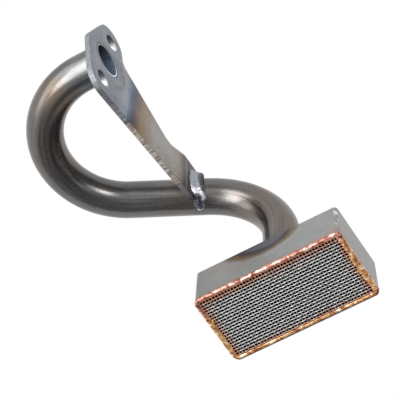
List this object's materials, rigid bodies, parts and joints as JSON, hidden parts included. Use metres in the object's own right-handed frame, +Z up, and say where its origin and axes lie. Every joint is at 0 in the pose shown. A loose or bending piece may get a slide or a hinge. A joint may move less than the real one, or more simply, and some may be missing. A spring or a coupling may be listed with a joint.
{
  "type": "oil pickup tube",
  "caption": "Oil pump pickup: bent steel suction tube through a two-bolt flange with a brace arm, ending in a drafted strainer box closed by a brazed woven wire screen.",
  "frame": {"origin": "centre of the tube's bore on the flange's mounting face", "axes": "+X out of the mounting face along the bore, +Y along the brace arm, +Z up, so that the screen faces down"},
  "size_m": [0.1401, 0.1542, 0.1199],
  "materials": {
    "plate_steel": "satin, laser-cut edges, with blue and straw heat tint along the arm",
    "tube_steel": "dark drawn mill steel with long soft highlights",
    "box_steel": "satin pressed sheet, heat tint by the tube",
    "wire_steel": "bright woven wire, coppered at its edges",
    "braze": "wavy bronze braze, copper red to gold",
    "weld_steel": "bright rippled weld metal with dark scale beside it"
  },
  "bodies": {
    "root": {"flange_brace": "plate_steel", "suction_tube": "tube_steel", "strainer_box": "box_steel", "wire_screen": "wire_steel", "braze_fillet": "braze", "flange_weld": "weld_steel", "brace_weld": "weld_steel", "box_weld": "weld_steel"}
  },
  "joints": []
}
